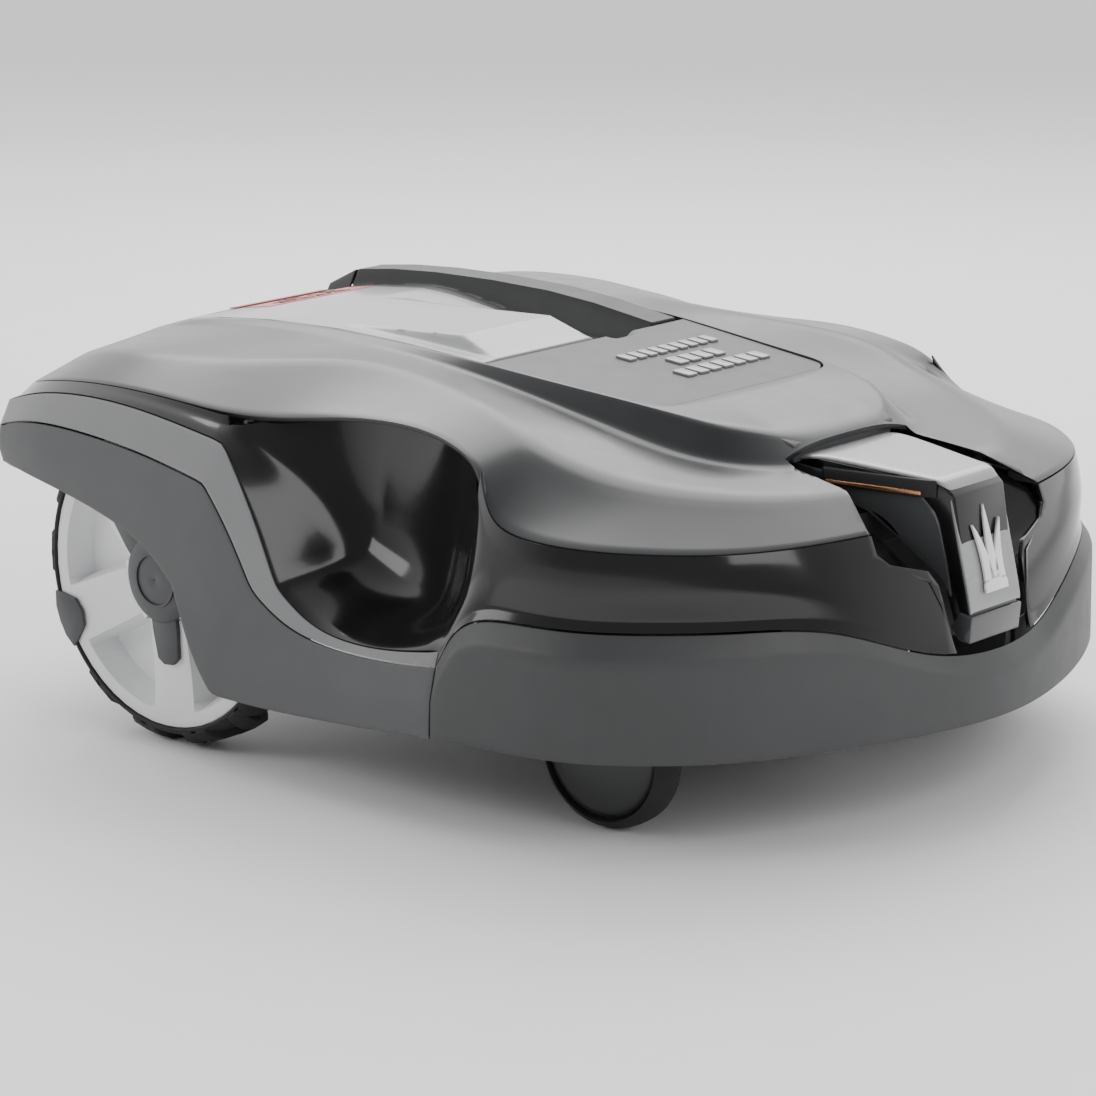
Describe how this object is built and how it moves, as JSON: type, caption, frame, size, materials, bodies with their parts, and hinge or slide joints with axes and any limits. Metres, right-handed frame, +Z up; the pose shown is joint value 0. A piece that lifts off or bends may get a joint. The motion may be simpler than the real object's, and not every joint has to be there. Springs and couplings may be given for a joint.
{
  "type": "robotic lawn mower",
  "caption": "Battery robotic lawn mower with floating shell, two driven rear wheels, swivelling front casters, hinged hatch, stop button and height-adjustable cutting disc with pivoting blades",
  "frame": {"origin": "on the ground under the middle of the machine", "axes": "+X driving direction, +Y the machine's left, +Z up"},
  "size_m": [0.637, 0.512, 0.25],
  "materials": {
    "cover_gloss": "gloss anthracite moulded plastic",
    "body_gloss": "gloss black-grey moulded plastic",
    "fender_grey": "matte mid grey textured plastic",
    "band_grey": "satin light grey plastic",
    "bumper_grey": "matte dark grey soft plastic",
    "hatch_grey": "satin grey plastic",
    "stop_silver": "gloss silver-grey plastic",
    "stop_red": "red printed label",
    "snout_silver": "gloss light grey plastic",
    "snout_badge": "white plastic badge",
    "copper": "copper charging strip",
    "tyre": "black rubber",
    "rim_white": "white plastic rim",
    "cap_dark": "dark grey plastic cap",
    "caster_grey": "dark grey plastic wheel",
    "chassis_black": "black moulded plastic",
    "seal": "rubber seal",
    "battery": "battery pack",
    "board": "circuit board",
    "steel": "steel",
    "blade": "ground steel blade",
    "display": "display case",
    "window": "clear window",
    "key_rubber": "keypad rubber",
    "key_green": "green key",
    "key_grey": "grey key",
    "knob": "orange knob",
    "post_rubber": "rubber post"
  },
  "bodies": {
    "chassis": {"lower_chassis": "chassis_black", "upper_chassis": "chassis_black", "chassis_seal": "seal", "chassis_screws": "steel", "battery_pack": "battery", "battery_cover": "chassis_black", "main_circuit_board": "board", "wheel_gearmotor_left": "chassis_black", "wheel_gearmotor_right": "chassis_black", "charging_snout": "snout_silver", "charging_strips": "copper", "snout_badge": "snout_badge", "display_unit": "display", "display_window": "window", "keypad_mat": "key_rubber", "joystick_sockets": "post_rubber"},
    "joysticks": {"joystick_posts": "post_rubber"},
    "shell": {"top_cover": "cover_gloss", "body_shell": "body_gloss", "front_bumper": "bumper_grey", "fender_left": "fender_grey", "fender_right": "fender_grey", "side_band_left": "band_grey", "side_band_right": "band_grey", "hatch_hinge_pin": "steel", "stop_label": "stop_red"},
    "hatch": {"hatch_lid": "hatch_grey", "hatch_badge": "hatch_grey"},
    "stop": {"stop_button": "stop_silver"},
    "switch": {"main_switch": "knob"},
    "dial": {"height_dial": "knob"},
    "cutting_unit": {"blade_motor_housing": "chassis_black", "blade_motor": "steel"},
    "cutting_disc": {"blade_disc": "chassis_black", "blade_screws": "steel"},
    "blade_a": {"blade_1": "blade"},
    "blade_b": {"blade_2": "blade"},
    "blade_c": {"blade_3": "blade"},
    "skid": {"skid_plate": "fender_grey", "skid_plate_bearing": "steel"},
    "key_home": {"home_button": "key_grey"},
    "key_ok": {"ok_button": "key_grey"},
    "key_start": {"start_button": "key_green"},
    "key_power": {"power_button": "key_grey"},
    "wheel_left": {"rear_tyre_left": "tyre", "rear_rim_left": "rim_white", "hub_cap_left": "cap_dark", "wheel_axle_left": "steel"},
    "caster_left": {"caster_arm_left": "chassis_black", "caster_axle_left": "steel"},
    "caster_wheel_left": {"front_wheel_left": "caster_grey"},
    "wheel_right": {"rear_tyre_right": "tyre", "rear_rim_right": "rim_white", "hub_cap_right": "cap_dark", "wheel_axle_right": "steel"},
    "caster_right": {"caster_arm_right": "chassis_black", "caster_axle_right": "steel"},
    "caster_wheel_right": {"front_wheel_right": "caster_grey"}
  },
  "joints": [
    {"name": "shell_bump", "type": "slide", "parent": "chassis", "child": "joysticks", "axis": [1, 0, 0], "range_m": [-0.003, 0.003], "stiffness_N_per_m": 1500},
    {"name": "shell_lift", "type": "slide", "parent": "joysticks", "child": "shell", "axis": [0, 0, 1], "range_m": [0, 0.006]},
    {"name": "hatch_hinge", "type": "hinge", "parent": "shell", "child": "hatch", "pos_m": [0.1165, 0, 0.22365], "axis": [0, 1, 0], "range_deg": [0, 75]},
    {"name": "stop_press", "type": "hinge", "parent": "shell", "child": "stop", "pos_m": [-0.27, 0, 0.228], "axis": [0, 1, 0], "range_deg": [0, 1.2], "stiffness_Nm_per_rad": 60, "springref_deg": -114.59},
    {"name": "main_switch_turn", "type": "hinge", "parent": "chassis", "child": "switch", "pos_m": [0.085, 0.063, 0.2035], "axis": [0, 0, 1], "range_deg": [0, 90]},
    {"name": "height_dial_turn", "type": "hinge", "parent": "chassis", "child": "dial", "pos_m": [0.085, -0.063, 0.2035], "axis": [0, 0, 1], "range_deg": [0, 270]},
    {"name": "cutting_height", "type": "slide", "parent": "chassis", "child": "cutting_unit", "axis": [0, 0, 1], "range_m": [0, 0.04]},
    {"name": "cutting_disc_spin", "type": "hinge", "parent": "cutting_unit", "child": "cutting_disc", "pos_m": [0.025, 0, 0.024], "axis": [0, 0, 1], "continuous": true},
    {"name": "blade_a_pivot", "type": "hinge", "parent": "cutting_disc", "child": "blade_a", "pos_m": [0.065, 0.06928, 0.0219], "axis": [0, 0, 1], "range_deg": [-60, 60]},
    {"name": "blade_b_pivot", "type": "hinge", "parent": "cutting_disc", "child": "blade_b", "pos_m": [-0.055, 0, 0.0219], "axis": [0, 0, 1], "range_deg": [-60, 60]},
    {"name": "blade_c_pivot", "type": "hinge", "parent": "cutting_disc", "child": "blade_c", "pos_m": [0.065, -0.06928, 0.0219], "axis": [0, 0, 1], "range_deg": [-60, 60]},
    {"name": "skid_spin", "type": "hinge", "parent": "cutting_disc", "child": "skid", "pos_m": [0.025, 0, 0.0135], "axis": [0, 0, 1], "continuous": true},
    {"name": "wheel_left_spin", "type": "hinge", "parent": "chassis", "child": "wheel_left", "pos_m": [-0.148, 0.224, 0.106], "axis": [0, 1, 0], "continuous": true},
    {"name": "caster_left_swivel", "type": "hinge", "parent": "chassis", "child": "caster_left", "pos_m": [0.1725, 0.178, 0.11], "axis": [0, 0, 1], "continuous": true},
    {"name": "caster_left_roll", "type": "hinge", "parent": "caster_left", "child": "caster_wheel_left", "pos_m": [0.1625, 0.178, 0.048], "axis": [0, 1, 0], "continuous": true},
    {"name": "wheel_right_spin", "type": "hinge", "parent": "chassis", "child": "wheel_right", "pos_m": [-0.148, -0.224, 0.106], "axis": [0, 1, 0], "continuous": true},
    {"name": "caster_right_swivel", "type": "hinge", "parent": "chassis", "child": "caster_right", "pos_m": [0.1725, -0.178, 0.11], "axis": [0, 0, 1], "continuous": true},
    {"name": "caster_right_roll", "type": "hinge", "parent": "caster_right", "child": "caster_wheel_right", "pos_m": [0.1625, -0.178, 0.048], "axis": [0, 1, 0], "continuous": true},
    {"name": "home_press", "type": "slide", "parent": "chassis", "child": "key_home", "axis": [0, 0, -1], "range_m": [0, 0.0015], "stiffness_N_per_m": 300, "springref_m": -0.002},
    {"name": "ok_press", "type": "slide", "parent": "chassis", "child": "key_ok", "axis": [0, 0, -1], "range_m": [0, 0.0015], "stiffness_N_per_m": 300, "springref_m": -0.002},
    {"name": "start_press", "type": "slide", "parent": "chassis", "child": "key_start", "axis": [0, 0, -1], "range_m": [0, 0.0015], "stiffness_N_per_m": 300, "springref_m": -0.002},
    {"name": "power_press", "type": "slide", "parent": "chassis", "child": "key_power", "axis": [0, 0, -1], "range_m": [0, 0.0015], "stiffness_N_per_m": 300, "springref_m": -0.002}
  ],
  "couplings": [
    {"joint": "height_dial_turn", "follows": "cutting_height", "rad_per_m": 117.8}
  ]
}
